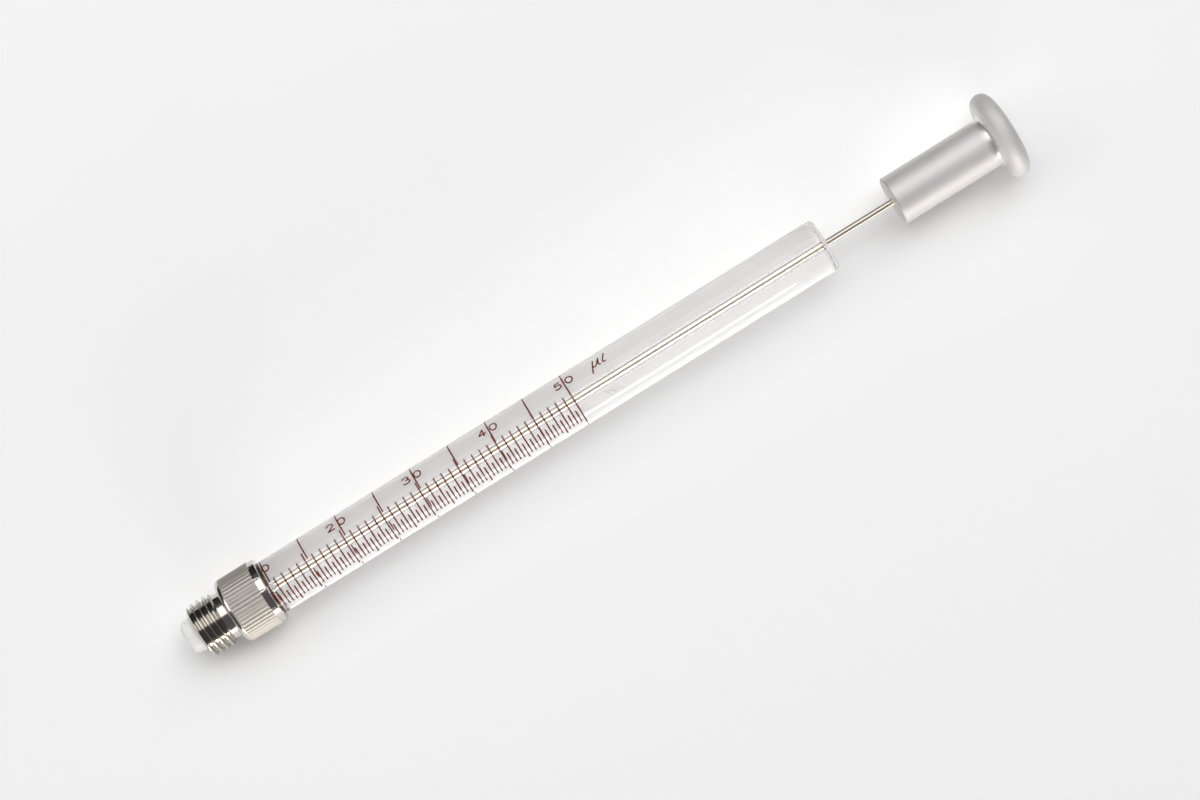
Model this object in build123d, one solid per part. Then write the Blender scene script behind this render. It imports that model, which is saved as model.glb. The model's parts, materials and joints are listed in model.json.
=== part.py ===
from build123d import *
from math import asin, atan2, cos, degrees, hypot, radians, sin
import os

os.makedirs("parts", exist_ok=True)

# All sizes are in millimetres. X runs along the syringe from its tip to its button, and X = 0 is
# the front face of the threaded fitting. Angles round the barrel start at the top, at +Z, and
# grow towards -Y.

# Threaded fitting
thread_diameter = 7.94
thread_length = 3.9
thread_chamfer = 0.55
neck_diameter = 6.8
neck_length = 1.0
collar_diameter = 9.5
collar_length = 6.3
collar_chamfer = 0.7
knurl_teeth = 48
knurl_depth = 0.18
knurl_crest_share = 0.3
band_length = 0.95
band_chamfer = 0.25
web_thickness = 1.5

# Glass barrel
barrel_diameter = 7.7
barrel_length = 88.2
barrel_rear_chamfer = 0.4
bore_diameter = 1.03
bore_mouth_diameter = 2.0
bore_mouth_depth = 0.6
nose_diameter = 4.0
nose_stand_out = 0.55

# Enamel scale
scale_capacity = 50.0
scale_stroke = 60.0
scale_first_volume = 10.0
smallest_step = 0.5
unit_step = 1.0
half_way_step = 2.5
ring_step = 5.0
mark_width = 0.17
mark_thickness = 0.03
ring_angles = (-26.0, 200.0)
unit_angles = (-15.5, 58.0)
half_way_angles = (22.0, 68.0)
small_angles = (22.0, 58.0)

# Tip seal
seal_diameter = 5.0
seal_stand_out = 2.0
seal_seat_depth = 2.0
seal_nose_chamfer = 0.8
seal_step = 0.12
outlet_diameter = 1.0

# Plunger
plunger_tip_length = 12.6
plunger_tip_bore_share = 0.97
rod_diameter = 0.95
rod_spigot_diameter = 0.5
rod_spigot_length = 9.0
rod_exposed_length = 10.8
rod_grip_depth = 12.0
button_shank_diameter = 7.05
button_shank_length = 15.4
button_shank_chamfer = 0.25
button_neck_flare = 0.6
flange_diameter = 12.7
flange_thickness = 3.1

# Clearances, each measured on the radius
enamel_gap = 0.01
cement_gap = 0.05
seal_fit = 0.02
spigot_fit = 0.01
rod_grip_fit = 0.01
home_gap = 0.05

# Places along the axis that follow from the sizes
collar_front = thread_length + neck_length
knurl_front = collar_front + collar_chamfer
collar_back = collar_front + collar_length
knurl_back = collar_back - band_length
barrel_seat = collar_front + web_thickness
barrel_rear = collar_back + barrel_length
nose_front = -nose_stand_out
plunger_front = nose_front + home_gap
rod_front = plunger_front + plunger_tip_length
button_front = barrel_rear + rod_exposed_length
flange_front = button_front + button_shank_length
flange_back = flange_front + flange_thickness

# Radii that follow from the sizes
barrel_radius = barrel_diameter / 2
bore_radius = bore_diameter / 2
nose_radius = nose_diameter / 2
seal_radius = seal_diameter / 2
rod_radius = rod_diameter / 2
rod_hole_radius = rod_radius + rod_grip_fit
spigot_radius = rod_spigot_diameter / 2
collar_radius = collar_diameter / 2
knurl_root_radius = collar_radius - knurl_depth
shank_radius = button_shank_diameter / 2
rim_round = flange_thickness / 2
rim_centre_radius = flange_diameter / 2 - rim_round
rim_centre = flange_front + rim_round

SAME_PLACE = 1e-4


def turned(*outline):
    """A solid turned about the X axis from a closed outline of (x, radius) points."""
    return revolve(Plane.XZ * make_face(Polyline(*outline, close=True)), Axis.X)


def rims(solid, x, radius):
    """The round edges of a turned solid at one place along the axis and one radius."""
    return solid.edges().filter_by(GeomType.CIRCLE).filter_by(
        lambda edge: abs(edge.arc_center.X - x) < SAME_PLACE and abs(edge.radius - radius) < SAME_PLACE
    )


def glass_barrel():
    """Heavy-wall tube with a ground nose in front and a countersunk bore behind."""
    tube = turned(
        (nose_front, bore_radius),
        (nose_front, nose_radius),
        (barrel_seat, nose_radius),
        (barrel_seat, barrel_radius),
        (barrel_rear, barrel_radius),
        (barrel_rear, bore_mouth_diameter / 2),
        (barrel_rear - bore_mouth_depth, bore_radius),
    )
    return chamfer(rims(tube, barrel_rear, barrel_radius), barrel_rear_chamfer)


def enamel_line(volume, start_angle, end_angle):
    """One fused line of the scale, wrapped on the glass between two angles."""
    x = nose_front + volume * scale_stroke / scale_capacity
    middle_radius = barrel_radius + enamel_gap + mark_thickness / 2
    section = Pos(x, middle_radius) * Rectangle(mark_width, mark_thickness)
    line = revolve(Plane.XZ * section, Axis.X, end_angle - start_angle)
    return Rot(start_angle, 0, 0) * line


def falls_on(volume, step):
    """Whether a volume is a whole number of steps."""
    steps = volume / step
    return abs(steps - round(steps)) < SAME_PLACE


def line_angles(volume):
    """How far round the barrel the line of this volume reaches."""
    if falls_on(volume, ring_step):
        return ring_angles
    if falls_on(volume, unit_step):
        return unit_angles
    if falls_on(volume, half_way_step):
        return half_way_angles
    return small_angles


def scale_marks():
    """Every line of the scale from the first one in front of the collar to full capacity."""
    first = round(scale_first_volume / smallest_step)
    last = round(scale_capacity / smallest_step)
    volumes = [index * smallest_step for index in range(first, last + 1)]
    return Compound(children=[enamel_line(volume, *line_angles(volume)) for volume in volumes])


def knurl_grooves():
    """V grooves along the collar, evenly round it, with a crest straight below the axis."""
    pitch = 2 * collar_radius * sin(radians(180 / knurl_teeth))
    half_width = pitch * (1 - knurl_crest_share) / 2
    above = knurl_depth
    rise = half_width * (knurl_depth + above) / knurl_depth
    groove = make_face(
        Polyline(
            (0, -knurl_root_radius),
            (rise, -collar_radius - above),
            (-rise, -collar_radius - above),
            close=True,
        )
    )
    step = 360 / knurl_teeth
    cutter = extrude(Plane.YZ.offset(collar_front) * Rot(0, 0, step / 2) * groove, knurl_back - collar_front)
    return [Rot(index * step, 0, 0) * cutter for index in range(knurl_teeth)]


def threaded_fitting():
    """Spigot, relief neck and knurled collar turned as one, with a stepped bore for glass and seal."""
    thread_radius = thread_diameter / 2
    neck_radius = neck_diameter / 2
    seal_hole_radius = seal_radius + seal_fit
    nose_hole_radius = nose_radius + cement_gap
    socket_radius = barrel_radius + cement_gap
    body = turned(
        (0, seal_hole_radius),
        (0, thread_radius),
        (thread_length, thread_radius),
        (thread_length, neck_radius),
        (collar_front, neck_radius),
        (collar_front, collar_radius),
        (knurl_back, collar_radius),
        (knurl_back, knurl_root_radius),
        (collar_back, knurl_root_radius),
        (collar_back, socket_radius),
        (barrel_seat, socket_radius),
        (barrel_seat, nose_hole_radius),
        (seal_seat_depth, nose_hole_radius),
        (seal_seat_depth, seal_hole_radius),
    )
    body = chamfer(rims(body, 0, thread_radius), thread_chamfer)
    body = chamfer(rims(body, collar_back, knurl_root_radius), band_chamfer)
    body = chamfer(rims(body, collar_front, collar_radius), collar_chamfer)
    return body - knurl_grooves()


def tip_seal():
    """Moulded cap over the glass nose, seated in the fitting, with the outlet through its end."""
    outlet_radius = outlet_diameter / 2
    socket_radius = nose_radius + seal_fit
    dome_radius = seal_radius - seal_step
    cap = turned(
        (-seal_stand_out, outlet_radius),
        (-seal_stand_out, dome_radius),
        (nose_front, dome_radius),
        (nose_front, seal_radius),
        (seal_seat_depth, seal_radius),
        (seal_seat_depth, socket_radius),
        (nose_front, socket_radius),
        (nose_front, outlet_radius),
    )
    return chamfer(rims(cap, -seal_stand_out, dome_radius), seal_nose_chamfer)


def plunger_tip():
    """Soft tip that wipes the bore, pushed over the stepped end of the rod."""
    tip_radius = bore_radius * plunger_tip_bore_share
    hole_radius = spigot_radius + spigot_fit
    hole_end = rod_front - rod_spigot_length - spigot_fit
    return turned(
        (plunger_front, 0),
        (plunger_front, tip_radius),
        (rod_front, tip_radius),
        (rod_front, hole_radius),
        (hole_end, hole_radius),
        (hole_end, 0),
    )


def plunger_rod():
    """Drawn rod, stepped down in front for the soft tip and held in the button behind."""
    spigot_front = rod_front - rod_spigot_length
    rod_rear = button_front + rod_grip_depth
    return turned(
        (spigot_front, 0),
        (spigot_front, spigot_radius),
        (rod_front, spigot_radius),
        (rod_front, rod_radius),
        (rod_rear, rod_radius),
        (rod_rear, 0),
    )


def plunger_button():
    """Shank bored for the rod, flared into a mushroom flange with a fully rounded rim."""
    hole_end = button_front + rod_grip_depth
    outline = make_face(
        Polyline(
            (button_front, rod_hole_radius),
            (button_front, shank_radius),
            (flange_front, shank_radius),
            (flange_front, rim_centre_radius),
            (flange_back, rim_centre_radius),
            (flange_back, 0),
            (hole_end, 0),
            (hole_end, rod_hole_radius),
            close=True,
        )
    )
    outline += Pos(rim_centre, rim_centre_radius) * Circle(rim_round)
    button = revolve(Plane.XZ * outline, Axis.X)
    button = chamfer(rims(button, button_front, shank_radius), button_shank_chamfer)
    return chamfer(rims(button, flange_front, shank_radius), button_neck_flare)


def lying_place(pieces):
    """Where the syringe comes to rest on its side: on the collar's front crest and the flange rim.

    The wider flange lifts the button's end, and the origin goes below the middle of the whole.
    """
    along = rim_centre - knurl_front
    drop = rim_centre_radius - collar_radius
    lean = atan2(drop, along) + asin(rim_round / hypot(along, drop))
    height = collar_radius * cos(lean) - knurl_front * sin(lean)
    tipped = Pos(0, 0, height) * Rot(0, -degrees(lean), 0)
    box = Compound(children=[tipped * piece for piece in pieces]).bounding_box()
    return Pos(-box.center().X, -box.center().Y, 0) * tipped


pieces = {
    "glass_barrel": glass_barrel(),
    "scale_marks": scale_marks(),
    "threaded_fitting": threaded_fitting(),
    "tip_seal": tip_seal(),
    "plunger_tip": plunger_tip(),
    "plunger_rod": plunger_rod(),
    "plunger_button": plunger_button(),
}
place = lying_place(pieces.values())
for name, piece in pieces.items():
    export_step(place * piece, f"parts/{name}.step")
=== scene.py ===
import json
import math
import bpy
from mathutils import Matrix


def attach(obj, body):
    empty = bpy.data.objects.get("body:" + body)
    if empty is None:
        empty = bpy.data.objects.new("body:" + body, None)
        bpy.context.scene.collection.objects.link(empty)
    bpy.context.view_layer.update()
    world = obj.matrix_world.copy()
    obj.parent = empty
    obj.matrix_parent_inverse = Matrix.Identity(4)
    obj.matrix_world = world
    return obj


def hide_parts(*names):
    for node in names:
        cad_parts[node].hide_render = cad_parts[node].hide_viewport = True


bl_info = {
    "name": "Gas syringe",
    "version": (1, 0, 0),
    "blender": (4, 5, 0),
    "location": "3D View > Sidebar > Gas syringe",
    "description": "Dresses a gas-tight microlitre syringe and lays it on a pale table under studio lamps",
    "category": "Object",
}

import bmesh
import bpy
from bpy.props import FloatProperty, FloatVectorProperty, IntProperty, PointerProperty
from bpy.types import Operator, Panel, PropertyGroup
from mathutils import Matrix, Vector

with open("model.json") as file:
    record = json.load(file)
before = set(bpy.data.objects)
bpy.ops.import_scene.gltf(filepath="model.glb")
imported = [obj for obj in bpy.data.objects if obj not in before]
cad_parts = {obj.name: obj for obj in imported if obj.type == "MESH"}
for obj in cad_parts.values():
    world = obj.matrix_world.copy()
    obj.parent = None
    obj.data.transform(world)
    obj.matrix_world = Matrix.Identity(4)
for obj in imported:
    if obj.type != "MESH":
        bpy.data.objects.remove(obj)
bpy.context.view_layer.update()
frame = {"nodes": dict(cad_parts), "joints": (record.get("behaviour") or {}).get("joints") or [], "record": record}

MM = 0.001
# Measures of the plain model that differ by less than this are the same
HAIR = 0.002 * MM
MOUNTS = {mount["name"]: mount for mount in frame["record"]["mounts"]}

# The syringe's own directions: along it from tip to button, across it, and up from the table
AXIS = Vector(frame["joints"][0]["axis"]).normalized()
ACROSS = Vector((0, 1, 0))
RISE = AXIS.cross(ACROSS)


def front_of_fitting():
    """The point of the axis in the plane of the threaded fitting's front face."""
    on_axis = Vector(MOUNTS["thumb_face"]["pos_m"])
    vertices = frame["nodes"]["threaded_fitting"].data.vertices
    return on_axis + AXIS * min((vertex.co - on_axis).dot(AXIS) for vertex in vertices)


PLACE = Matrix((AXIS, ACROSS, RISE)).transposed().to_4x4()
PLACE.translation = front_of_fitting()


class Measured:
    """A turned piece of the model, as places along the syringe and distances from its axis."""

    def __init__(self, node):
        to_syringe = PLACE.inverted()
        points = [to_syringe @ vertex.co for vertex in frame["nodes"][node].data.vertices]
        self.points = [(point.x, math.hypot(point.y, point.z)) for point in points]
        self.front = min(place for place, _ in self.points)
        self.back = max(place for place, _ in self.points)
        self.widest = max(radius for _, radius in self.points)

    def radii(self, place):
        """The distances from the axis that its points have at a place."""
        return [radius for x, radius in self.points if abs(x - place) < HAIR]

    def places(self, radius):
        """The places of its points that lie this far from the axis."""
        return [x for x, r in self.points if abs(r - radius) < HAIR]

    def after(self, place):
        """The next place behind this one where it has points."""
        return min(x for x, _ in self.points if x > place + HAIR)


GLASS = Measured("glass_barrel")
SCALE = Measured("scale_marks")
FITTING = Measured("threaded_fitting")
SEAL = Measured("tip_seal")
TIP = Measured("plunger_tip")
ROD = Measured("plunger_rod")
BUTTON = Measured("plunger_button")
THREAD_CREST = MOUNTS["thread"]["dims"]["r_mm"] * MM


def length(name, description, millimetres):
    """A length that a user can change, given in millimetres and kept in metres."""
    return FloatProperty(
        name=name, description=description, default=millimetres * MM, unit="LENGTH", precision=5
    )


def angle(name, description, degrees):
    """An angle that a user can change, given in degrees and kept in radians."""
    return FloatProperty(
        name=name, description=description, default=math.radians(degrees), subtype="ANGLE"
    )


def share(name, description, value):
    """A number from 0 to 1 that a user can change."""
    return FloatProperty(name=name, description=description, default=value, min=0, max=1)


def colour(name, description, red, green, blue):
    """A colour that a user can change."""
    return FloatVectorProperty(
        name=name, description=description, default=(red, green, blue), subtype="COLOR", min=0, max=1
    )


def power(name, description, watts):
    """The power of a lamp that a user can change, in watts."""
    return FloatProperty(name=name, description=description, default=watts, min=0, unit="POWER")


class SyringeSizes(PropertyGroup):
    """The sizes that the plain model leaves to the finished one."""

    thread_pitch: length("Thread pitch", "From one crest to the next", 0.907)
    thread_depth: length("Thread depth", "From crest to root", 0.556)
    thread_start: length("Thread start", "Place of a crest straight above the axis", 0.223)
    thread_lead_in: length("Thread lead-in", "Length of the cone at the thread's front", 0.3)
    collar_rounding: length("Collar rounding", "Round of the collar's front edge", 0.8)
    knurl_teeth: IntProperty(name="Knurl teeth", description="Teeth round the collar", default=48)
    knurl_start: length("Knurl start", "From the collar's front face to its knurl", 0.85)
    knurl_run_in: length("Knurl run-in", "Length over which a groove reaches its depth", 0.06)
    knurl_depth: length("Knurl depth", "From a tooth's crest to its root", 0.1)
    band_depth: length("Band depth", "How far the plain band lies under the crests", 0.1)
    band_rounding: length("Band rounding", "Round of the collar's rear edge", 0.06)
    barrel_rounding: length("Barrel rounding", "Round of the rear edge", 0.5)
    seal_rounding: length("Seal rounding", "Round of the seal's nose", 0.9)
    seal_step: length("Seal step", "Step from the seal's ring down to its nose", 0.12)
    shank_rounding: length("Shank rounding", "Round of the button's front edge", 0.3)
    neck_rounding: length("Neck rounding", "Hollow round where the shank meets the flange", 0.7)
    line_width: length("Line width", "Width of an enamel stroke", 0.21)
    line_height: length("Line height", "How far the enamel stands above the glass", 0.03)
    numeral_height: length("Numeral height", "Height of the numerals", 1.33)
    numeral_width: length("Numeral width", "Width of a numeral", 1.2)
    numeral_angle: angle("Numeral angle", "Way round the barrel to the numerals' middle", -44)


class SyringeFinishes(PropertyGroup):
    """The colours and finishes of the syringe's materials."""

    glass: colour("Glass", "Clear borosilicate", 0.995, 0.985, 0.98)
    glass_shadow: share("Glass shadow", "Share of lamp light that passes one glass surface unbent", 0.55)
    ground_glass: colour("Ground glass", "White of the barrel's ground rear end", 0.86, 0.84, 0.85)
    enamel: colour("Enamel", "Fused brown enamel", 0.15, 0.014, 0.002)
    nickel: colour("Nickel", "Bright nickel plate", 0.76, 0.72, 0.66)
    nickel_roughness: share("Nickel roughness", "Roughness of the nickel plate", 0.14)
    knurl_roughness: share("Knurl roughness", "Roughness of the plate on the knurl", 0.62)
    ptfe: colour("PTFE", "Milky white plastic of the seal and the plunger tip", 0.93, 0.93, 0.91)
    steel: colour("Steel", "Drawn stainless rod", 0.9, 0.83, 0.73)
    steel_roughness: share("Steel roughness", "Roughness of the rod", 0.33)
    aluminium: colour("Aluminium", "Satin anodised aluminium", 0.88, 0.862, 0.85)
    aluminium_roughness: share("Aluminium roughness", "Roughness of the button", 0.57)


class StudioSettings(PropertyGroup):
    """The table, the lamps and the camera."""

    table: colour("Table", "Pale table top", 0.96, 0.96, 0.96)
    table_lift: share("Table lift", "Brightness that the table adds straight to the eye", 0.08)
    room: colour("Room", "Dim room round the table", 0.93, 0.91, 1.0)
    room_level: share("Room level", "Brightness of the room", 0.1)
    backdrop: colour("Backdrop", "Pale room that the eye sees in its place", 0.8, 0.8, 0.8)
    backdrop_level: share("Backdrop level", "Brightness of the room straight to the eye", 0.9)
    backdrop_share: share("Backdrop share", "Share of that brightness that glass lets in", 0.22)
    softbox_level: power("Softbox level", "Power of the overhead lamp", 11.4)
    softbox_angle: angle("Softbox angle", "Lean of the overhead lamp from straight up", 29.5)
    window: colour("Window", "Warm low light beside the table", 1.0, 0.97, 0.9)
    window_level: power("Window level", "Power of the low lamp", 5.3)
    fill_level: power("Fill level", "Power of the lamp that only lights matt surfaces", 3.4)
    fill_angle: angle("Fill angle", "Lean of that lamp from straight up", 14)
    camera_height: length("Camera height", "From the syringe's axis up to the lens", 467)
    camera_place: length("Camera place", "Place along the syringe straight under the lens", 58.45)
    camera_turn: angle("Camera turn", "Turn of the syringe in the picture", 31.86)


class Wire:
    """A node's output, whose numbers Python's operators work on by adding Math nodes."""

    def __init__(self, paint, socket):
        self.paint = paint
        self.socket = socket

    def maths(self, operation, first, second, clamp=False):
        """A Math node on two numbers or wires."""
        settings = {"operation": operation, "use_clamp": clamp}
        return self.paint.node("ShaderNodeMath", settings, {0: first, 1: second})

    def __add__(self, other):
        return self.maths("ADD", self, other)

    __radd__ = __add__

    def __sub__(self, other):
        return self.maths("SUBTRACT", self, other)

    def __rsub__(self, other):
        return self.maths("SUBTRACT", other, self)

    def __mul__(self, other):
        return self.maths("MULTIPLY", self, other)

    __rmul__ = __mul__

    def __truediv__(self, other):
        return self.maths("DIVIDE", self, other)

    def clamped(self):
        """The same number kept between 0 and 1."""
        return self.maths("ADD", self, 0, clamp=True)


# Slope of a mask with a crisp edge, for each millimetre
CRISP = 20
# The Mix node's sockets for two colours, and its output for the colour between them
FIRST_COLOUR = 6
SECOND_COLOUR = 7
MIXED_COLOUR = 2


class Paint:
    """The node tree of a material or a world, with short ways to add nodes to it."""

    def __init__(self, owner):
        owner.use_nodes = True
        self.owner = owner
        self.tree = owner.node_tree
        self.tree.nodes.clear()

    def node(self, kind, settings=None, inputs=None, output=0):
        """A new node with its settings, then its socket values or links, as a wire from one output."""
        made = self.tree.nodes.new(kind)
        for key, value in (settings or {}).items():
            setattr(made, key, value)
        for key, value in (inputs or {}).items():
            if isinstance(value, Wire):
                self.tree.links.new(value.socket, made.inputs[key])
            else:
                made.inputs[key].default_value = value
        return Wire(self, made.outputs[output]) if made.outputs else None

    def vector_maths(self, operation, first, second=None, output="Vector"):
        """A Vector Math node on one or two vectors or wires."""
        vectors = {0: first} if second is None else {0: first, 1: second}
        return self.node("ShaderNodeVectorMath", {"operation": operation}, vectors, output)

    def spot(self):
        """Where the shaded point lies, in the syringe's resting place."""
        return self.node("ShaderNodeTexCoord", output="Object")

    def from_front(self):
        """The way from the middle of the fitting's front face to the shaded point."""
        return self.vector_maths("SUBTRACT", self.spot(), PLACE.translation)

    def along(self):
        """Place of the shaded point along the syringe, in millimetres from the fitting's front."""
        return self.vector_maths("DOT_PRODUCT", self.from_front(), AXIS, "Value") / MM

    def off_axis(self):
        """Distance of the shaded point from the syringe's axis, in millimetres."""
        across = self.vector_maths("CROSS_PRODUCT", self.from_front(), AXIS)
        return self.vector_maths("LENGTH", across, output="Value") / MM

    def behind(self, place, slope=CRISP):
        """A mask that rises from 0 at a place to 1 behind it, in millimetres and a slope for each."""
        return ((self.along() - place) * slope).clamped()

    def before(self, place, slope=CRISP):
        """A mask that falls from 1 in front of a place to 0 at it, in millimetres and a slope for each."""
        return ((place - self.along()) * slope).clamped()

    def noise(self, size, detail=2, stretch=(1, 1, 1)):
        """Noise from 0 to 1 whose grains are about this size in metres."""
        scaled = self.vector_maths("MULTIPLY", self.spot(), [factor / size for factor in stretch])
        sockets = {"Vector": scaled, "Scale": 1, "Detail": detail}
        return self.node("ShaderNodeTexNoise", {"noise_dimensions": "3D"}, sockets)

    def tinted(self, base, other, factor):
        """A colour that goes from one to another as a wire goes from 0 to 1."""
        sockets = {"Factor": factor, FIRST_COLOUR: rgba(base), SECOND_COLOUR: rgba(other)}
        return self.node("ShaderNodeMix", {"data_type": "RGBA"}, sockets, MIXED_COLOUR)

    def shaded(self, base, factor, low, high):
        """A colour that goes from one share of itself to another as a wire goes from 0 to 1."""
        return self.tinted(scaled_colour(base, low), scaled_colour(base, high), factor)

    def bump(self, height, depth):
        """A surface normal that follows a height from 0 to 1 of this depth in metres."""
        return self.node("ShaderNodeBump", {}, {"Height": height, "Distance": depth}, "Normal")

    def principled(self, **inputs):
        """A Principled shader with sockets named as the keywords, with underscores for spaces."""
        named = {key.replace("_", " "): value for key, value in inputs.items()}
        return self.node("ShaderNodeBsdfPrincipled", {}, named)

    def mixed(self, factor, shader, other):
        """A shader that goes from one to another as a wire goes from 0 to 1."""
        return self.node("ShaderNodeMixShader", {}, {0: factor, 1: shader, 2: other})

    def finish(self, shader, output="ShaderNodeOutputMaterial"):
        """Links the shader to the tree's output and gives the material or the world."""
        self.node(output, {}, {"Surface": shader})
        return self.owner


def rgba(three):
    """A colour with full opacity."""
    return (three[0], three[1], three[2], 1.0)


def scaled_colour(three, factor):
    """A colour made darker or lighter by a factor."""
    return [channel * factor for channel in three]


def new_paint(name):
    """The empty node tree of a new material."""
    return Paint(bpy.data.materials.new(name))


# Lengths in millimetres of the barrel's frosted rear end and of the ground face at its very end
FROSTED_LENGTH = 0.6
GROUND_LENGTH = 0.08
# Roughness of the frosted end, its share of white, and the share that the ground face adds
FROSTED_ROUGHNESS = 0.32
FROSTED_WHITE = 0.42
GROUND_WHITE = 0.2
# How far below the thread's crests the plate is worn rougher and kept out of the painted shade, in millimetres
WORN_UNSHADED_DEPTH = 0.3
# Lengths in millimetres of the button's smoother neck, of the gap behind it and of the painted shade at its front
# edge
NECK_LENGTH = 1.4
NECK_GAP = 0.03
PAINTED_SHADE_EDGE = 0.36


def clear_glass(finishes):
    """Polished glass with a frosted end and a ground rear face. Lamp light passes it with a pale shadow."""
    paint = new_paint("clear_glass")
    rear = GLASS.back / MM
    frosted = paint.behind(rear - FROSTED_LENGTH, slope=5)
    end_face = paint.behind(rear - GROUND_LENGTH, slope=30)
    ground = paint.noise(0.04 * MM, detail=3)
    polished = paint.principled(
        Base_Color=rgba(finishes.glass),
        Roughness=frosted * FROSTED_ROUGHNESS,
        IOR=1.474,
        Transmission_Weight=1.0,
        Normal=paint.bump(ground * frosted, 0.01 * MM),
    )
    white = paint.principled(
        Base_Color=rgba(finishes.ground_glass), Roughness=0.6, Specular_IOR_Level=0.2
    )
    whiteness = frosted * FROSTED_WHITE + end_face * GROUND_WHITE
    glass = paint.mixed(whiteness, polished, white)
    passed = (finishes.glass_shadow,) * 3
    clear = paint.node("ShaderNodeBsdfTransparent", {}, {"Color": rgba(passed)})
    shadow = paint.node("ShaderNodeLightPath", output="Is Shadow Ray")
    return paint.finish(paint.mixed(shadow, glass, clear))


def fused_enamel(finishes):
    """Brown enamel with patches where it fired thinner."""
    paint = new_paint("fused_enamel")
    patches = paint.noise(0.5 * MM, detail=3)
    grains = paint.noise(0.05 * MM)
    return paint.finish(
        paint.principled(
            Base_Color=paint.shaded(finishes.enamel, patches, low=0.55, high=1.6),
            Roughness=0.06 + grains * 0.1,
            IOR=1.42,
            Normal=paint.bump(grains, 0.001 * MM),
        )
    )


def nickel_plate(finishes):
    """Bright plate with fine turning lines, dull on the knurl, with painted shade between the thread's crests."""
    paint = new_paint("nickel_plate")
    knurl = [place / MM for place in FITTING.places(FITTING.widest)]
    on_knurl = paint.behind(min(knurl)) * paint.before(max(knurl))
    turning = {"W": paint.along() * 14, "Detail": 3}
    lines = paint.node("ShaderNodeTexNoise", {"noise_dimensions": "1D"}, turning)
    clouds = paint.noise(1.2 * MM, detail=3)
    on_thread = paint.before(max(FITTING.places(THREAD_CREST)) / MM)
    worn_unshaded_crests = on_thread * ((paint.off_axis() - (THREAD_CREST / MM - WORN_UNSHADED_DEPTH)) * 4).clamped()
    # Painted shade: the thread's roots are darkened patchily towards two thirds of the plate's colour, with the
    # worn crests left out
    painted_root_shade = (on_thread - worn_unshaded_crests) * (0.6 + clouds * 0.6)
    bright = finishes.nickel_roughness - 0.04 + clouds * 0.08 + worn_unshaded_crests * 0.08
    return paint.finish(
        paint.principled(
            Base_Color=paint.shaded(finishes.nickel, painted_root_shade, low=1, high=0.66),
            Metallic=1.0,
            Roughness=bright + on_knurl * (finishes.knurl_roughness - bright),
            Normal=paint.bump(lines, 0.0015 * MM),
        )
    )


def milky_plastic(finishes, name):
    """Dense white plastic that light enters a little."""
    paint = new_paint(name)
    clouds = paint.noise(0.6 * MM, detail=3)
    return paint.finish(
        paint.principled(
            Base_Color=paint.shaded(finishes.ptfe, clouds, low=0.96, high=1.03),
            Roughness=0.34 + clouds * 0.12,
            Subsurface_Weight=0.25,
            Subsurface_Radius=(1.0, 1.0, 0.9),
            Subsurface_Scale=0.4 * MM,
            Normal=paint.bump(clouds, 0.006 * MM),
        )
    )


def drawn_steel(finishes):
    """Stainless rod with draw lines along it."""
    paint = new_paint("drawn_steel")
    lines = paint.noise(0.05 * MM, stretch=(0.02, 1, 1))
    return paint.finish(
        paint.principled(
            Base_Color=paint.shaded(finishes.steel, lines, low=0.9, high=1.08),
            Metallic=1.0,
            Roughness=finishes.steel_roughness + lines * 0.06,
            Normal=paint.bump(lines, 0.001 * MM),
        )
    )


def satin_aluminium(finishes):
    """Blasted and anodised aluminium, smoother in the turned neck, with painted shade at the shank's front edge.
    """
    paint = new_paint("satin_aluminium")
    flange = (BUTTON.places(BUTTON.widest)[0] * 2 - BUTTON.back) / MM
    on_neck = paint.behind(flange - NECK_LENGTH, slope=1.2) * paint.before(flange - NECK_GAP)
    on_flange = paint.behind(flange, slope=8)
    painted_shade_edge = paint.before(BUTTON.front / MM + PAINTED_SHADE_EDGE, slope=6)
    grains = paint.noise(0.09 * MM)
    clouds = paint.noise(2.5 * MM)
    # Painted shade: the colour darkens towards the shank's front edge; the clouds are random tone of the metal
    cloud_tone_and_painted_shade = (0.9 + clouds * 0.1) - painted_shade_edge * 0.3
    even = finishes.aluminium_roughness - 0.03 + clouds * 0.06
    return paint.finish(
        paint.principled(
            Base_Color=paint.shaded(finishes.aluminium, cloud_tone_and_painted_shade, low=0.4, high=1.03),
            Metallic=0.68,
            Roughness=even - on_neck * 0.3 + on_flange * 0.12,
            Normal=paint.bump(grains, 0.004 * MM),
        )
    )


# Turn from one point of a rounded edge to the next, and how far beyond the edge a point holds it flat
ARC_STEP = math.radians(9)
SUPPORT = 0.015 * MM
# Points of a turned piece round the axis, for most, for the glass and for the thin ones
SEGMENTS = 256
GLASS_SEGMENTS = 384
THIN_SEGMENTS = 96


def rounded(corners):
    """Outline points from corners of (place, radius, rounding), with an arc at each rounded one."""
    points = []
    for index, (x, r, rounding) in enumerate(corners):
        corner = Vector((x, r))
        if not rounding:
            points.append(corner)
            continue
        before = (Vector(corners[index - 1][:2]) - corner).normalized()
        after = (Vector(corners[(index + 1) % len(corners)][:2]) - corner).normalized()
        half = before.angle(after) / 2
        reach = rounding / math.tan(half)
        centre = corner + (before + after).normalized() * rounding / math.sin(half)
        start = corner + before * reach - centre
        end = corner + after * reach - centre
        swing = math.atan2(start.x * end.y - start.y * end.x, start.dot(end))
        steps = max(2, math.ceil(abs(swing) / ARC_STEP))
        points.append(corner + before * (reach + SUPPORT))
        for step in range(steps + 1):
            turn = Matrix.Rotation(swing * step / steps, 2)
            points.append(centre + turn @ start)
        points.append(corner + after * (reach + SUPPORT))
    return points


def around(place, radius, way):
    """A point at a place along the syringe, a distance from its axis and a way round from the top."""
    return Vector((place, -radius * math.sin(way), radius * math.cos(way)))


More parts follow.
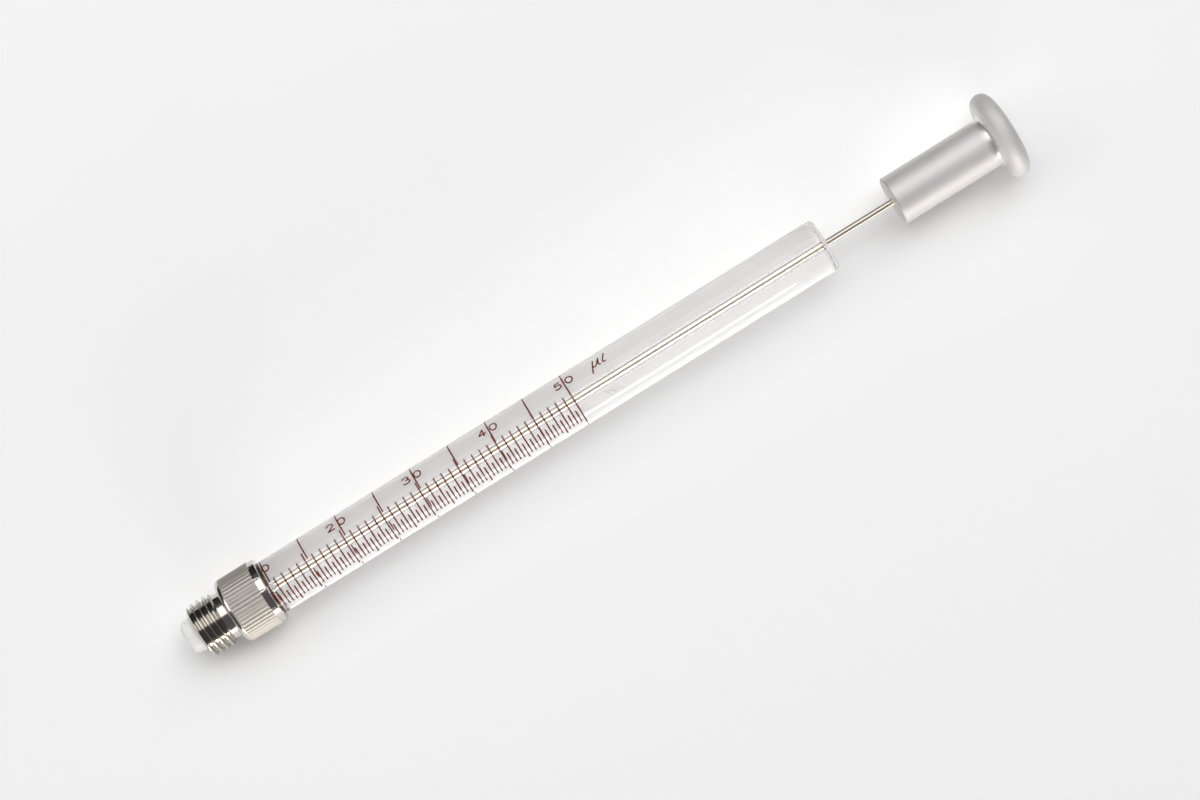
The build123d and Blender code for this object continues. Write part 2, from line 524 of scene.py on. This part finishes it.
def lathe(outline, segments=SEGMENTS):
    """A closed mesh from an outline of (place, radius) points turned about the syringe's axis."""
    mesh = bmesh.new()
    rings = []
    for place, radius in outline:
        count = segments if radius > HAIR else 1
        ways = [math.tau * index / segments for index in range(count)]
        rings.append([mesh.verts.new(around(place, radius, way)) for way in ways])
    pairs = list(zip(rings, rings[1:]))
    if len(rings[0]) > 1 or len(rings[-1]) > 1:
        pairs.append((rings[-1], rings[0]))
    for one, other in pairs:
        for index in range(segments):
            following = (index + 1) % segments
            corners = [
                one[index % len(one)],
                one[following % len(one)],
                other[following % len(other)],
                other[index % len(other)],
            ]
            mesh.faces.new(dict.fromkeys(corners))
    return mesh


# Faces that meet at more than this angle show a sharp edge
SHARP = math.radians(38)


def mesh_object(name, mesh, material):
    """A new object of the scene with this mesh and material."""
    data = bpy.data.meshes.new(name)
    mesh.to_mesh(data)
    mesh.free()
    data.materials.append(material)
    made = bpy.data.objects.new(name, data)
    bpy.context.scene.collection.objects.link(made)
    return made


def seated(name, mesh, body, material, nodes):
    """Makes a piece of a mesh in the syringe's own place and sets it on its body."""
    bmesh.ops.recalc_face_normals(mesh, faces=mesh.faces)
    mesh.transform(PLACE)
    piece = mesh_object(name, mesh, material)
    piece.data.shade_smooth()
    piece.data.set_sharp_from_angle(angle=SHARP)
    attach(piece, body)
    if nodes:
        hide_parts(*nodes)


# Small rounds on the glass: its nose and shoulder, and the mouth of its bore
NOSE_EDGE = 0.1 * MM
MOUTH_EDGE = 0.05 * MM


class SYRINGE_OT_barrel(Operator):
    """Turn the glass barrel with its bore, its nose and its rounded rear edge"""

    bl_idname = "syringe.barrel"
    bl_label = "Glass barrel"

    def execute(self, context):
        sizes = context.scene.syringe_sizes
        bore = min(GLASS.radii(GLASS.front))
        nose = max(GLASS.radii(GLASS.front))
        seat = min(GLASS.places(GLASS.widest))
        outline = rounded([
            (GLASS.front, bore, 0),
            (GLASS.front, nose, NOSE_EDGE),
            (seat, nose, 0),
            (seat, GLASS.widest, NOSE_EDGE),
            (GLASS.back, GLASS.widest, sizes.barrel_rounding),
            (GLASS.back, min(GLASS.radii(GLASS.back)), MOUTH_EDGE),
            (max(GLASS.places(bore)), bore, 0),
        ])
        mesh = lathe(outline, GLASS_SEGMENTS)
        material = clear_glass(context.scene.syringe_finishes)
        seated("barrel_tube", mesh, "barrel", material, ["glass_barrel"])
        return {"FINISHED"}


# Cross-section of an enamel stroke: shares of its half width and of its height
STROKE_SECTION = ((-1, -0.2), (-0.92, 0.55), (-0.6, 1), (0.6, 1), (0.92, 0.55), (1, -0.2))
# Turns round a stroke's end, in degrees, where it has a section
END_ANGLES = (80, 55, 28)


def enamel_stroke(mesh, line, width, height):
    """Adds a raised stroke with round ends along a line of (place, way along the glass) points."""
    line = [Vector(point) for point in line]
    ways = [(after - before).normalized() for before, after in zip(line, line[1:])]
    ways = [ways[0]] + [(one + two).normalized() for one, two in zip(ways, ways[1:])] + [ways[-1]]
    half = width / 2
    stations = [(point, way, half) for point, way in zip(line, ways)]
    for degrees in END_ANGLES[::-1]:
        turn = math.radians(degrees)
        reach = half * math.sin(turn)
        narrow = half * math.cos(turn)
        stations.insert(0, (line[0] - ways[0] * reach, ways[0], narrow))
        stations.append((line[-1] + ways[-1] * reach, ways[-1], narrow))
    rings = []
    for point, way, half_width in stations:
        side = Vector((-way.y, way.x))
        ring = []
        for across, up in STROKE_SECTION:
            place, arc = point + side * half_width * across
            ring.append(mesh.verts.new(around(place, GLASS.widest + height * up, arc / GLASS.widest)))
        rings.append(ring)
    for one, other in zip(rings, rings[1:]):
        for index in range(len(STROKE_SECTION)):
            after = (index + 1) % len(STROKE_SECTION)
            mesh.faces.new((one[index], one[after], other[after], other[index]))
    mesh.faces.new(rings[0])
    mesh.faces.new(rings[-1][::-1])


# The scale in microlitres
FIRST_VOLUME = 10
LAST_VOLUME = 50
SMALLEST_STEP = 0.5
NUMERAL_STEP = 10
# Steps of the scale and where their lines start and end, in degrees round the barrel from its top
LINE_REACH = ((5, -26, 61), (1, -14, 51), (2.5, 22, 61), (0.5, 22, 51))
# The second stretch of the first kind of line, on the barrel's underside
BACK_REACH = (171, 200)
# Degrees from one point of a line to the next, the same for a letter's bend, and a bend's fewest steps
WAY_STEP = 3
BEND_STEP = 12
BEND_LEAST = 4
# Middles of a numeral's digits and of the unit's letters, along the syringe from their line
DIGIT_PLACES = (-0.92 * MM, 0.83 * MM)
UNIT_PLACES = {"µ": 5.0 * MM, "l": 6.15 * MM}


def volume_place(volume, line_width):
    """Place along the syringe of the line for a volume."""
    first = SCALE.front + line_width / 2
    last = SCALE.back - line_width / 2
    return first + (last - first) * (volume - FIRST_VOLUME) / (LAST_VOLUME - FIRST_VOLUME)


def scale_line(place, start, end):
    """A line of the scale as points on the glass, between two angles in degrees."""
    count = math.ceil((end - start) / WAY_STEP)
    ways = [math.radians(start + (end - start) * index / count) for index in range(count + 1)]
    return [(place, way * GLASS.widest) for way in ways]


def bend(centre_x, centre_y, half_width, half_height, start, end):
    """Points of part of an oval between two angles in degrees, for a letter's curved stroke."""
    count = max(BEND_LEAST, math.ceil(abs(end - start) / BEND_STEP))
    turns = [math.radians(start + (end - start) * index / count) for index in range(count + 1)]
    return [
        (centre_x + half_width * math.cos(turn), centre_y + half_height * math.sin(turn)) for turn in turns
    ]


# Strokes of each sign in a box one wide and one high, with its foot on the line
STROKES = {
    "0": [bend(0.5, 0.5, 0.5, 0.5, 90, 450)],
    "1": [[(0.25, 0.78), (0.55, 1)], [(0.55, 1), (0.55, 0)]],
    "2": [bend(0.5, 0.7, 0.45, 0.3, 165, -38) + [(0.03, 0)], [(0.03, 0), (1, 0)]],
    "3": [bend(0.48, 0.76, 0.46, 0.24, 150, -90), bend(0.46, 0.26, 0.54, 0.26, 90, -145)],
    "4": [[(0.68, 1), (0, 0.3)], [(0, 0.3), (1, 0.3)], [(0.68, 1), (0.68, 0)]],
    "5": [[(0.85, 1), (0.2, 1)], [(0.2, 1), (0.12, 0.55)], bend(0.45, 0.32, 0.5, 0.32, 130, -140)],
    "µ": [
        [(0.3, 1), (-0.42, -0.62)],
        [(-0.02, 0.28), (0.08, 0.07), (0.28, 0), (0.55, 0.18), (1.14, 1)],
        [(1.14, 1), (0.86, 0.24), (0.9, 0.04), (1.08, 0)],
    ],
    "l": [[(0.97, 1.24), (0.36, 0.2), (0.4, 0.03), (0.72, 0)]],
}


def sign_lines(sign, centre, width, height, way):
    """A sign's strokes as lines on the glass, with its top towards the far side of the barrel."""
    left = centre - width / 2
    foot = way * GLASS.widest + height / 2
    return [[(left + x * width, foot - y * height) for x, y in stroke] for stroke in STROKES[sign]]


class SYRINGE_OT_scale(Operator):
    """Fuse the scale's lines, numerals and unit on the glass"""

    bl_idname = "syringe.scale"
    bl_label = "Enamel scale"

    def execute(self, context):
        sizes = context.scene.syringe_sizes
        material = fused_enamel(context.scene.syringe_finishes)
        width = sizes.line_width
        lines = bmesh.new()
        for index in range(round((LAST_VOLUME - FIRST_VOLUME) / SMALLEST_STEP) + 1):
            volume = FIRST_VOLUME + index * SMALLEST_STEP
            place = volume_place(volume, width)
            step, *reach = next(each for each in LINE_REACH if volume % each[0] == 0)
            enamel_stroke(lines, scale_line(place, *reach), width, sizes.line_height)
            if step == LINE_REACH[0][0]:
                enamel_stroke(lines, scale_line(place, *BACK_REACH), width, sizes.line_height)
        seated("enamel_lines", lines, "barrel", material, ["scale_marks"])

        written = []
        for volume in range(FIRST_VOLUME, LAST_VOLUME + 1, NUMERAL_STEP):
            place = volume_place(volume, width)
            written += [(digit, place + offset) for digit, offset in zip(str(volume), DIGIT_PLACES)]
        last = volume_place(LAST_VOLUME, width)
        written += [(letter, last + offset) for letter, offset in UNIT_PLACES.items()]
        signs = bmesh.new()
        breadth = sizes.numeral_width - width
        height = sizes.numeral_height - width
        for sign, centre in written:
            for line in sign_lines(sign, centre, breadth, height, sizes.numeral_angle):
                enamel_stroke(signs, line, width, sizes.line_height)
        seated("enamel_numerals", signs, "barrel", material, [])
        return {"FINISHED"}


# Where the thread's crest ends and its root starts, as shares of the pitch from a crest
CREST_END = 0.0625
ROOT_START = 0.416
# Columns of the thread over half a pitch from a crest, as shares of the pitch
HALF_PITCH = (0, 0.03, 0.05, CREST_END, 0.08, 0.12, 0.2, 0.28, 0.36, 0.395, ROOT_START, 0.44, 0.5)
# Turns of the thread that would lie in front of the fitting, and are pressed flat on its face
LEADING_TURNS = 2
# Slope at which the thread's last turn falls to the neck
RUN_OUT = 1.2
# Where a knurl tooth's crest ends, and rows of the tooth either side of it, as shares of its pitch
TOOTH_CREST_END = 0.12
TOOTH_ROWS = (-0.5, -0.47, -0.3, -0.15, -0.09, 0, 0.09, 0.15, 0.3, 0.47)
# Share of a flank's height that the rounds at its top and foot take
SOFTNESS = 0.06
# Small rounds on the fitting: the corner before its collar, and the mouths of its two seats
COLLAR_FOOT = 0.12 * MM
SOCKET_EDGE = 0.03 * MM
SEAT_EDGE = 0.05 * MM
# Points of the mesh that lie closer than this are one
WELD = 1e-9


def eased(rise):
    """A rise from 0 to 1 with its two corners rounded, flat outside them."""
    if rise <= -SOFTNESS:
        return 0
    if rise < SOFTNESS:
        return (rise + SOFTNESS) ** 2 / (4 * SOFTNESS)
    if rise <= 1 - SOFTNESS:
        return rise
    if rise < 1 + SOFTNESS:
        return 1 - (1 + SOFTNESS - rise) ** 2 / (4 * SOFTNESS)
    return 1


def from_crest(value):
    """How far a number of pitches is from the nearest whole one."""
    return abs(value - round(value))


class FittingShape:
    """The threaded fitting's surface, row by row round the axis."""

    def __init__(self, sizes):
        self.sizes = sizes
        self.root = THREAD_CREST - sizes.thread_depth
        self.thread_end = max(FITTING.places(THREAD_CREST))
        self.cone_foot = max(FITTING.radii(FITTING.front))
        self.neck = min(FITTING.radii(self.thread_end))
        self.collar_front = max(FITTING.places(self.neck))
        self.collar = FITTING.widest
        self.knurl_end = max(FITTING.places(self.collar))
        self.band = self.collar - sizes.band_depth
        shares = [-place for place in HALF_PITCH[-2:0:-1]] + list(HALF_PITCH)
        self.per_pitch = len(shares)
        turns = math.ceil(self.thread_end / sizes.thread_pitch) + LEADING_TURNS + 1
        self.helix = [turn - LEADING_TURNS + place for turn in range(turns) for place in shares]

    def thread_radius(self, place, way):
        """Distance of the thread's surface from the axis."""
        sizes = self.sizes
        crests = (place - sizes.thread_start) / sizes.thread_pitch - way / math.tau
        rise = (ROOT_START - from_crest(crests)) / (ROOT_START - CREST_END)
        ridge = self.root + sizes.thread_depth * eased(rise)
        lead_in = self.cone_foot + (THREAD_CREST - self.cone_foot) * place / sizes.thread_lead_in
        run_out = self.neck + RUN_OUT * (self.thread_end - place)
        return min(ridge, lead_in, run_out)

    def knurl_radius(self, way):
        """Distance of the knurl's surface from the axis."""
        tooth = from_crest(way * self.sizes.knurl_teeth / math.tau)
        rise = (0.5 - tooth) / (0.5 - TOOTH_CREST_END)
        return self.collar - self.sizes.knurl_depth * (1 - eased(rise))

    def row(self, way):
        """The fitting's closed outline at one way round, thread first, then back through its bore."""
        sizes = self.sizes
        points = []
        for place in self.helix:
            x = sizes.thread_start + (place + way / math.tau) * sizes.thread_pitch
            x = min(max(x, 0), self.thread_end)
            points.append((x, self.thread_radius(x, way)))
        knurled = self.knurl_radius(way)
        start = self.collar_front + sizes.knurl_start
        points += rounded([
            (self.thread_end, self.neck, 0),
            (self.collar_front, self.neck, COLLAR_FOOT),
            (self.collar_front, self.collar, sizes.collar_rounding),
            (start, self.collar, 0),
        ])[:-1]
        points += [
            (start, self.collar),
            (start + sizes.knurl_run_in, knurled),
            (self.knurl_end - sizes.knurl_run_in, knurled),
            (self.knurl_end, self.band),
        ]
        socket = min(FITTING.radii(FITTING.back))
        floor = min(FITTING.places(socket))
        nose_hole = min(FITTING.radii(floor))
        seal_floor = min(FITTING.places(nose_hole))
        seal_hole = min(FITTING.radii(FITTING.front))
        points += rounded([
            (self.knurl_end, self.band, 0),
            (FITTING.back, self.band, sizes.band_rounding),
            (FITTING.back, socket, SOCKET_EDGE),
            (floor, socket, 0),
            (floor, nose_hole, 0),
            (seal_floor, nose_hole, 0),
            (seal_floor, seal_hole, 0),
            (FITTING.front, seal_hole, SEAT_EDGE),
            (FITTING.front, self.cone_foot, 0),
        ])[1:-1]
        return points

    def mesh(self):
        """The whole surface, with the thread's columns joined one pitch on where the rows close."""
        teeth = self.sizes.knurl_teeth
        ways = [math.tau * (tooth + share) / teeth for tooth in range(teeth) for share in TOOTH_ROWS]
        mesh = bmesh.new()
        rows = [[mesh.verts.new(around(x, r, way)) for x, r in self.row(way)] for way in ways]
        columns = len(rows[0])
        last = len(self.helix) - 1
        for index, row in enumerate(rows):
            closing = index == len(rows) - 1
            following = rows[0] if closing else rows[index + 1]
            shift = self.per_pitch if closing else 0
            for column in range(columns):
                after = (column + 1) % columns
                joined = [min(each + shift, last) if each <= last else each for each in (column, after)]
                corners = (row[column], row[after], following[joined[1]], following[joined[0]])
                if len(set(corners)) > 2:
                    mesh.faces.new(dict.fromkeys(corners))
        bmesh.ops.remove_doubles(mesh, verts=mesh.verts, dist=WELD)
        bmesh.ops.dissolve_degenerate(mesh, edges=mesh.edges, dist=WELD)
        return mesh


class SYRINGE_OT_fitting(Operator):
    """Cut the threaded, knurled fitting in one turned piece"""

    bl_idname = "syringe.fitting"
    bl_label = "Threaded fitting"

    def execute(self, context):
        mesh = FittingShape(context.scene.syringe_sizes).mesh()
        material = nickel_plate(context.scene.syringe_finishes)
        seated("nickel_fitting", mesh, "barrel", material, ["threaded_fitting"])
        return {"FINISHED"}


# Small rounds on the seal: its outlet, the foot of its nose and its ring
OUTLET_EDGE = 0.06 * MM
NOSE_FOOT = 0.04 * MM
RING_EDGE = 0.05 * MM


class SYRINGE_OT_seal(Operator):
    """Mould the white seal over the barrel's nose"""

    bl_idname = "syringe.seal"
    bl_label = "Tip seal"

    def execute(self, context):
        sizes = context.scene.syringe_sizes
        ring_front = min(SEAL.places(SEAL.widest))
        outlet = min(SEAL.radii(SEAL.front))
        dome = SEAL.widest - sizes.seal_step
        socket = min(SEAL.radii(SEAL.back))
        outline = rounded([
            (SEAL.front, outlet, OUTLET_EDGE),
            (SEAL.front, dome, sizes.seal_rounding),
            (ring_front, dome, NOSE_FOOT),
            (ring_front, SEAL.widest, RING_EDGE),
            (SEAL.back, SEAL.widest, RING_EDGE),
            (SEAL.back, socket, 0),
            (ring_front, socket, 0),
            (ring_front, outlet, 0),
        ])
        material = milky_plastic(context.scene.syringe_finishes, "seal_plastic")
        seated("white_seal", lathe(outline), "barrel", material, ["tip_seal"])
        return {"FINISHED"}


# Small rounds on the plunger: its tip's two ends, the rod's two ends and the rod's shoulder
TIP_FRONT_EDGE = 0.08 * MM
TIP_BACK_EDGE = 0.06 * MM
ROD_EDGE = 0.04 * MM
SHOULDER_EDGE = 0.05 * MM


class SYRINGE_OT_plunger(Operator):
    """Make the plunger's soft white tip and its steel rod"""

    bl_idname = "syringe.plunger"
    bl_label = "Plunger tip and rod"

    def execute(self, context):
        finishes = context.scene.syringe_finishes
        hole = min(TIP.radii(TIP.back))
        hole_end = min(TIP.places(hole))
        tip = rounded([
            (TIP.front, 0, 0),
            (TIP.front, TIP.widest, TIP_FRONT_EDGE),
            (TIP.back, TIP.widest, TIP_BACK_EDGE),
            (TIP.back, hole, 0),
            (hole_end, hole, 0),
            (hole_end, 0, 0),
        ])
        mesh = lathe(tip, THIN_SEGMENTS)
        material = milky_plastic(finishes, "plunger_plastic")
        seated("white_plunger_tip", mesh, "plunger", material, ["plunger_tip"])

        spigot = max(ROD.radii(ROD.front))
        shoulder = min(ROD.places(ROD.widest))
        rod = rounded([
            (ROD.front, 0, 0),
            (ROD.front, spigot, ROD_EDGE),
            (shoulder, spigot, 0),
            (shoulder, ROD.widest, SHOULDER_EDGE),
            (ROD.back, ROD.widest, ROD_EDGE),
            (ROD.back, 0, 0),
        ])
        mesh = lathe(rod, THIN_SEGMENTS)
        material = drawn_steel(finishes)
        seated("steel_rod", mesh, "plunger", material, ["plunger_rod"])
        return {"FINISHED"}


# Round at the mouth of the button's hole
HOLE_EDGE = 0.12 * MM


class SYRINGE_OT_button(Operator):
    """Turn the button's shank and its mushroom flange"""

    bl_idname = "syringe.button"
    bl_label = "Thumb button"

    def execute(self, context):
        sizes = context.scene.syringe_sizes
        hole = min(BUTTON.radii(BUTTON.front))
        shank = max(BUTTON.radii(BUTTON.after(BUTTON.front)))
        rim = BUTTON.places(BUTTON.widest)[0]
        half_flange = BUTTON.back - rim
        flange_front = rim - half_flange
        rim_rounding = half_flange - 2 * SUPPORT
        hole_end = max(BUTTON.places(hole))
        outline = rounded([
            (BUTTON.front, hole, HOLE_EDGE),
            (BUTTON.front, shank, sizes.shank_rounding),
            (flange_front, shank, sizes.neck_rounding),
            (flange_front, BUTTON.widest, rim_rounding),
            (BUTTON.back, BUTTON.widest, rim_rounding),
            (BUTTON.back, 0, 0),
            (hole_end, 0, 0),
            (hole_end, hole, 0),
        ])
        outline = outline[-2:] + outline[:-2]
        material = satin_aluminium(context.scene.syringe_finishes)
        seated("satin_button", lathe(outline), "plunger", material, ["plunger_button"])
        return {"FINISHED"}


# Half a side of the square table, in metres
TABLE_REACH = 3.0
# Sizes of the lamps along the syringe and across it, in metres
SOFTBOX_SIZE = (3.2, 0.83)
WINDOW_SIZE = (0.74, 0.23)
FILL_SIZE = (0.9, 0.5)
# Place of the window, and how far along the syringe the fill lamp hangs from its middle, in metres
WINDOW_PLACE = Vector((-0.25, -1.0, 0.135))
FILL_PLACE = 0.2
WHITE = (1, 1, 1)
BLACK = (0, 0, 0)
# Painted dark reflections: black strips that only the polished metal sees, standing in for darker surroundings
# The cards' two ends on the table and the height of their upper edge, then that of their lower one
FAR_CARD = ((-120 * MM, 13 * MM), (135 * MM, 13 * MM), 12 * MM)
END_CARD = ((135 * MM, -80 * MM), (135 * MM, 80 * MM), 28 * MM)
CARD_LOW = 2 * MM
CARD_BLACK = (0.03, 0.03, 0.03)
# Picture size and sensor width that the lens length goes with
PICTURE_WIDTH = 1200
SENSOR_WIDTH = 36
# Pixels of the photograph for one millimetre at the syringe's axis
PIXELS_PER_MM = 7.4
# The point of the syringe's axis plane in the middle of the picture: along it and across it
PICTURE_MIDDLE = (62.42 * MM, -1.89 * MM)
# Nearest and farthest things that the camera sees, in metres
NEAREST = 0.01
FARTHEST = 20


def table_top(studio):
    """Smooth matt white laminate, a little brighter to the eye than the light that it throws back."""
    paint = new_paint("table_top")
    grain = paint.noise(1.5 * MM)
    to_eye = paint.node("ShaderNodeLightPath", output="Is Camera Ray")
    return paint.finish(
        paint.principled(
            Base_Color=rgba(studio.table),
            Roughness=0.75 + grain * 0.1,
            Specular_IOR_Level=0.15,
            Emission_Color=paint.tinted(BLACK, WHITE, to_eye),
            Emission_Strength=studio.table_lift,
        )
    )


def lay_table(studio):
    """Lays the table top, which isn't part of the syringe."""
    mesh = bmesh.new()
    bmesh.ops.create_grid(mesh, x_segments=8, y_segments=8, size=TABLE_REACH)
    mesh_object("table", mesh, table_top(studio))


def black_card(name, start, end, top):
    """A black strip beside the syringe that only its polished metal sees, between two points: a painted dark
    reflection.
    """
    paint = new_paint(name)
    mesh = bmesh.new()
    corners = ((start, CARD_LOW), (end, CARD_LOW), (end, top), (start, top))
    mesh.faces.new([mesh.verts.new((*point, height)) for point, height in corners])
    material = paint.finish(paint.principled(Base_Color=rgba(CARD_BLACK), Roughness=0.9))
    card = mesh_object(name, mesh, material)
    card.visible_camera = False
    card.visible_diffuse = False
    card.visible_transmission = False
    card.visible_shadow = False


def aimed(right, back):
    """A rotation whose x axis is nearest to one direction and whose z axis is another."""
    side = (right - back * right.dot(back)).normalized()
    return Matrix((side, back.cross(side), back)).transposed()


def overhead(lean, along=0.0):
    """A place a metre from the syringe's axis, leaning to its far side from straight up."""
    return Vector((along, math.sin(lean), math.cos(lean)))


def area_lamp(name, size, watts, tint, place):
    """A rectangular lamp at a place that faces the middle of the syringe."""
    light = bpy.data.lights.new(name, "AREA")
    light.shape = "RECTANGLE"
    light.size, light.size_y = size
    light.energy = watts
    light.color = tint
    lamp = bpy.data.objects.new(name, light)
    facing = aimed(Vector((1, 0, 0)), place.normalized())
    lamp.matrix_world = Matrix.Translation(place) @ facing.to_4x4()
    bpy.context.scene.collection.objects.link(lamp)
    return lamp


class SYRINGE_OT_stage(Operator):
    """Lay the table, hang the lamps and set the camera"""

    bl_idname = "syringe.stage"
    bl_label = "Table, lamps and camera"

    def execute(self, context):
        studio = context.scene.syringe_studio
        lay_table(studio)
        area_lamp("softbox", SOFTBOX_SIZE, studio.softbox_level, WHITE, overhead(studio.softbox_angle))
        area_lamp("window", WINDOW_SIZE, studio.window_level, studio.window, WINDOW_PLACE)
        above = overhead(studio.fill_angle, FILL_PLACE)
        fill = area_lamp("fill", FILL_SIZE, studio.fill_level, WHITE, above)
        fill.visible_glossy = False
        # Painted dark reflections in the metal, from strips that nothing else sees
        black_card("far_card", *FAR_CARD)
        black_card("end_card", *END_CARD)
        self.light_room(context, studio)
        self.set_camera(context, studio)
        context.scene.view_settings.view_transform = "Standard"
        return {"FINISHED"}

    def light_room(self, context, studio):
        """Gives the world the room's dim colour, and a pale one straight to the eye and through glass."""
        paint = Paint(bpy.data.worlds.new("room"))
        dim_light = {"Color": rgba(studio.room), "Strength": studio.room_level}
        dim = paint.node("ShaderNodeBackground", {}, dim_light)
        pale_light = {"Color": rgba(studio.backdrop), "Strength": studio.backdrop_level}
        backdrop = paint.node("ShaderNodeBackground", {}, pale_light)
        to_eye = paint.node("ShaderNodeLightPath", output="Is Camera Ray")
        through_glass = paint.node("ShaderNodeLightPath", output="Is Transmission Ray")
        seen = through_glass * studio.backdrop_share + to_eye
        context.scene.world = paint.finish(paint.mixed(seen, dim, backdrop), "ShaderNodeOutputWorld")

    def set_camera(self, context, studio):
        """Puts the camera over the syringe, turned as in the photograph."""
        turn = studio.camera_turn
        middle = PLACE @ Vector((*PICTURE_MIDDLE, 0))
        eye = PLACE @ Vector((studio.camera_place, PICTURE_MIDDLE[1], studio.camera_height))
        right = PLACE.to_3x3() @ Vector((math.cos(turn), -math.sin(turn), 0))
        data = bpy.data.cameras.new("camera")
        data.sensor_width = SENSOR_WIDTH
        data.lens = PIXELS_PER_MM * studio.camera_height / MM * SENSOR_WIDTH / PICTURE_WIDTH
        data.clip_start = NEAREST
        data.clip_end = FARTHEST
        camera = bpy.data.objects.new("camera", data)
        facing = aimed(right, (eye - middle).normalized())
        camera.matrix_world = Matrix.Translation(eye) @ facing.to_4x4()
        context.scene.collection.objects.link(camera)
        context.scene.camera = camera


class SYRINGE_PT_panel(Panel):
    """Lists the syringe's pieces and the values that they are made from"""

    bl_idname = "SYRINGE_PT_panel"
    bl_label = "Gas syringe"
    bl_space_type = "VIEW_3D"
    bl_region_type = "UI"
    bl_category = "Gas syringe"

    def draw(self, context):
        for maker in MAKERS:
            self.layout.operator(maker.bl_idname)
        for group in (
            context.scene.syringe_sizes,
            context.scene.syringe_finishes,
            context.scene.syringe_studio,
        ):
            box = self.layout.box()
            for name in group.__annotations__:
                box.prop(group, name)


MAKERS = (
    SYRINGE_OT_barrel,
    SYRINGE_OT_scale,
    SYRINGE_OT_fitting,
    SYRINGE_OT_seal,
    SYRINGE_OT_plunger,
    SYRINGE_OT_button,
    SYRINGE_OT_stage,
)
CLASSES = (SyringeSizes, SyringeFinishes, StudioSettings, *MAKERS, SYRINGE_PT_panel)


def register():
    """Adds the classes and the scene's settings to Blender."""
    for each in CLASSES:
        bpy.utils.register_class(each)
    bpy.types.Scene.syringe_sizes = PointerProperty(type=SyringeSizes)
    bpy.types.Scene.syringe_finishes = PointerProperty(type=SyringeFinishes)
    bpy.types.Scene.syringe_studio = PointerProperty(type=StudioSettings)


def unregister():
    """Takes them out again."""
    del bpy.types.Scene.syringe_studio
    del bpy.types.Scene.syringe_finishes
    del bpy.types.Scene.syringe_sizes
    for each in reversed(CLASSES):
        bpy.utils.unregister_class(each)


def main():
    """Makes every piece and the stage."""
    register()
    bpy.ops.syringe.barrel()
    bpy.ops.syringe.scale()
    bpy.ops.syringe.fitting()
    bpy.ops.syringe.seal()
    bpy.ops.syringe.plunger()
    bpy.ops.syringe.button()
    bpy.ops.syringe.stage()


if __name__ == "__main__":
    main()
